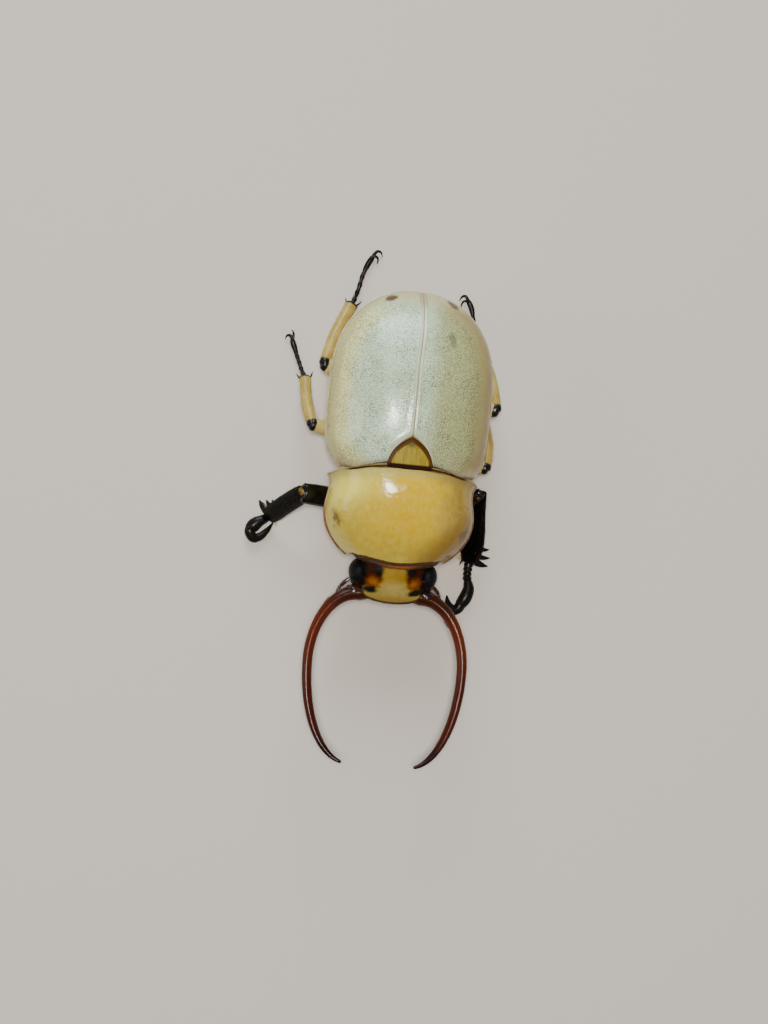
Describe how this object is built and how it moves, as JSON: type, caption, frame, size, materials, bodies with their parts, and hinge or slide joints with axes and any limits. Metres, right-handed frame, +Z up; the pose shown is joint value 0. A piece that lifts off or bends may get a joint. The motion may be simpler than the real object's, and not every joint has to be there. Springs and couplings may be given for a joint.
{
  "type": "long-jawed leaf chafer beetle model",
  "caption": "Still life-size model of a long-jawed pale green leaf chafer standing on all its feet, jaws forward.",
  "frame": {"origin": "middle of the footprint's box, on the floor that the feet stand on", "axes": "+Y from jaw tips to tail, +X to the beetle's left, +Z up"},
  "size_m": [0.0206, 0.0434, 0.0101],
  "materials": {
    "wing_case": "glossy pale grey-green with very fine dark pitting",
    "shield_yellow": "glossy ochre yellow, paler and greener to the edges",
    "head_yellow": "satin pale yellow with red-brown and black marks",
    "black": "polished black",
    "eye_black": "fine-grained grey-black",
    "jaw_red": "polished red-brown, darker to the tips",
    "leg_pale": "satin straw yellow with fine bristles",
    "belly_pale": "satin straw yellow with brown seams"
  },
  "bodies": {
    "root": {"abdomen": "belly_pale", "antenna_left": "black", "antenna_right": "black", "elytron_left": "wing_case", "elytron_right": "wing_case", "eye_left": "eye_black", "eye_right": "eye_black", "front_coxa_left": "belly_pale", "front_coxa_right": "belly_pale", "front_femur_left": "black", "front_femur_right": "black", "front_tarsus_left": "black", "front_tarsus_right": "black", "front_tibia_left": "black", "front_tibia_right": "black", "head": "head_yellow", "hind_coxa_left": "belly_pale", "hind_coxa_right": "belly_pale", "hind_femur_left": "leg_pale", "hind_femur_right": "leg_pale", "hind_tarsus_left": "black", "hind_tarsus_right": "black", "hind_tibia_left": "leg_pale", "hind_tibia_right": "leg_pale", "labium": "black", "labrum": "black", "mandible_left": "jaw_red", "mandible_right": "jaw_red", "maxilla_left": "black", "maxilla_right": "black", "metathorax": "belly_pale", "middle_coxa_left": "belly_pale", "middle_coxa_right": "belly_pale", "middle_femur_left": "leg_pale", "middle_femur_right": "leg_pale", "middle_tarsus_left": "black", "middle_tarsus_right": "black", "middle_tibia_left": "leg_pale", "middle_tibia_right": "leg_pale", "pronotum": "shield_yellow", "prosternum": "belly_pale", "pygidium": "leg_pale", "scutellum": "shield_yellow"}
  },
  "joints": []
}
